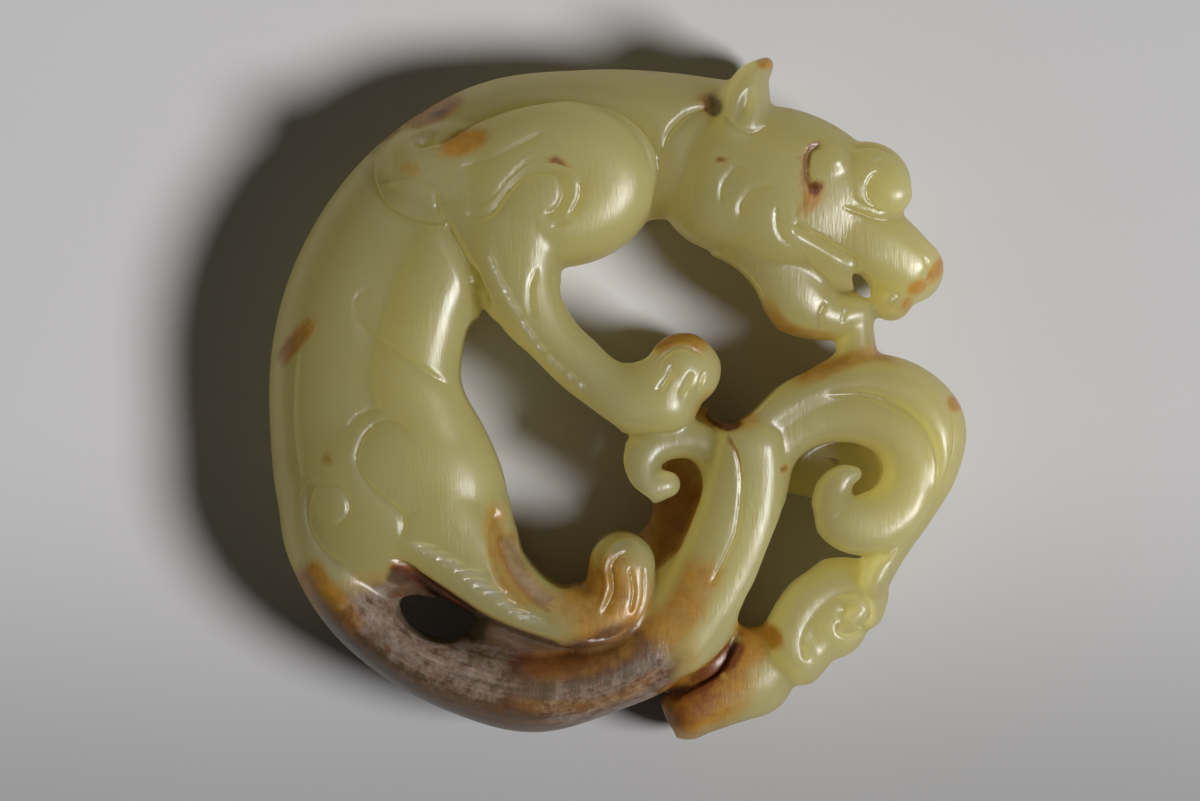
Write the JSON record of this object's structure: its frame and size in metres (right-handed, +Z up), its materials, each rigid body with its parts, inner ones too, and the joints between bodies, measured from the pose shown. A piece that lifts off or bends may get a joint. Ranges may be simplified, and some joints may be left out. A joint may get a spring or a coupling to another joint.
{
  "type": "jade netsuke",
  "caption": "Flat openwork jade toggle carved as a long-bodied beast curled into a ring, its jaw resting on its scrolled tail, with a small cord hole.",
  "frame": {"origin": "on the surface the toggle lies on, under the middle of its box", "axes": "+Z up out of the carved front face, +X from the beast's back towards its nose, +Y towards the shoulder and ear"},
  "size_m": [0.06, 0.0586, 0.0178],
  "materials": {
    "jade": "polished yellow-green celadon jade with russet and grey-brown stains, slightly translucent"
  },
  "bodies": {
    "root": {"carved_beast": "jade"}
  },
  "joints": []
}
